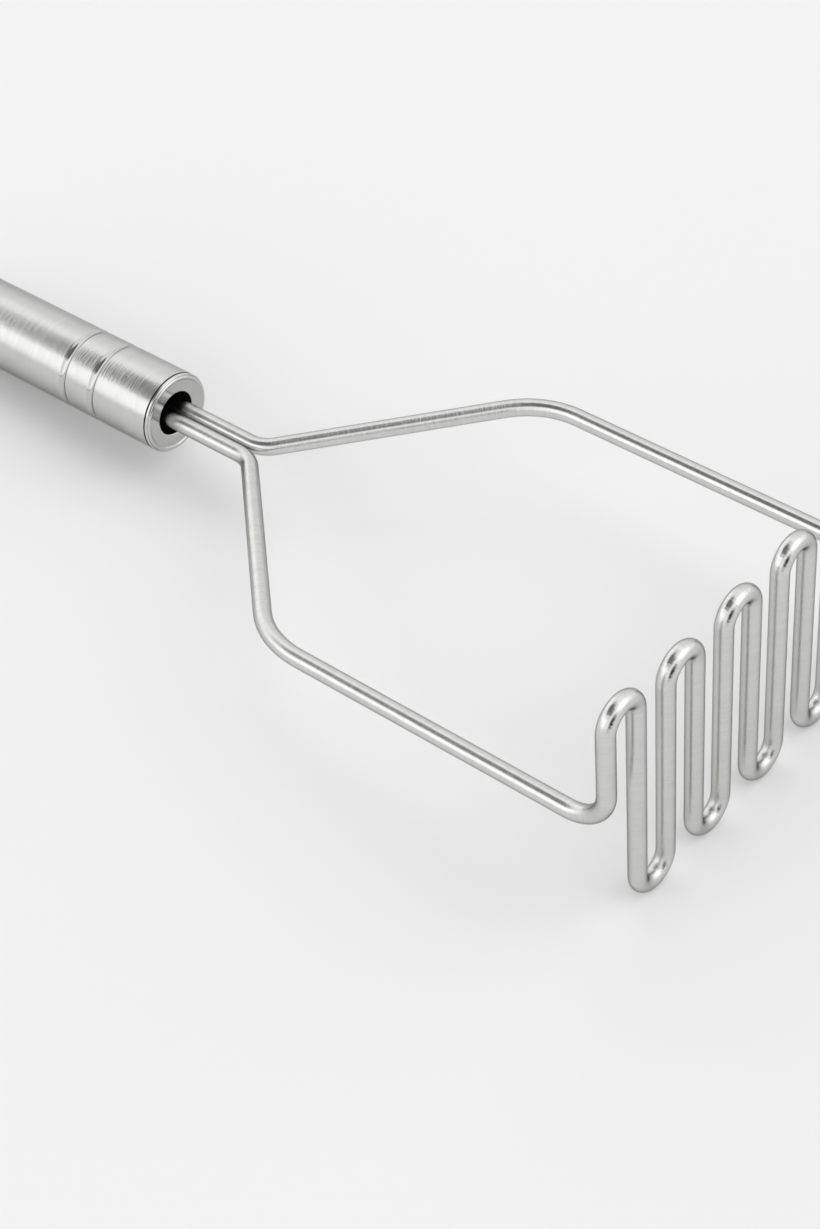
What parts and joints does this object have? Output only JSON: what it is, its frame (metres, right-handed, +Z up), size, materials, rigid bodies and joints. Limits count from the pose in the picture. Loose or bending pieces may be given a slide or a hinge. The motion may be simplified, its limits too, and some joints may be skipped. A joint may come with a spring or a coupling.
{
  "type": "potato masher",
  "caption": "Potato masher with a round hollow metal grip, a forked wire frame, an upright zigzag wire head and a swinging hanging loop.",
  "frame": {"origin": "under the middle of the tool's bounding box, on the table that the tool lies on", "axes": "+X along the tool from the grip to the head, +Y to the side where the last stroke joins its arm, +Z up from the table"},
  "size_m": [0.34, 0.123, 0.0764],
  "materials": {
    "wire": "finely brushed, bright at the bends",
    "tube": "brushed around the axis",
    "cap": "polished",
    "seal": "matt",
    "anchor": "turned and anodised black",
    "fastener": "plain",
    "stud": "polished",
    "loop": "polished"
  },
  "bodies": {
    "masher": {"masher_wire": "wire", "handle_tube": "tube", "front_cap": "cap", "front_seal": "seal", "wire_anchor": "anchor", "anchor_pin": "fastener", "rear_cap": "cap", "rear_seal": "seal", "loop_stud": "stud", "stud_washer": "fastener", "stud_nut": "fastener"},
    "loop": {"hanging_loop": "loop"}
  },
  "joints": [
    {"name": "loop_swing", "type": "hinge", "parent": "masher", "child": "loop", "pos_m": [-0.14484, 0, 0.01146], "axis": [0, 1, 0], "range_deg": [-95, 135]}
  ]
}
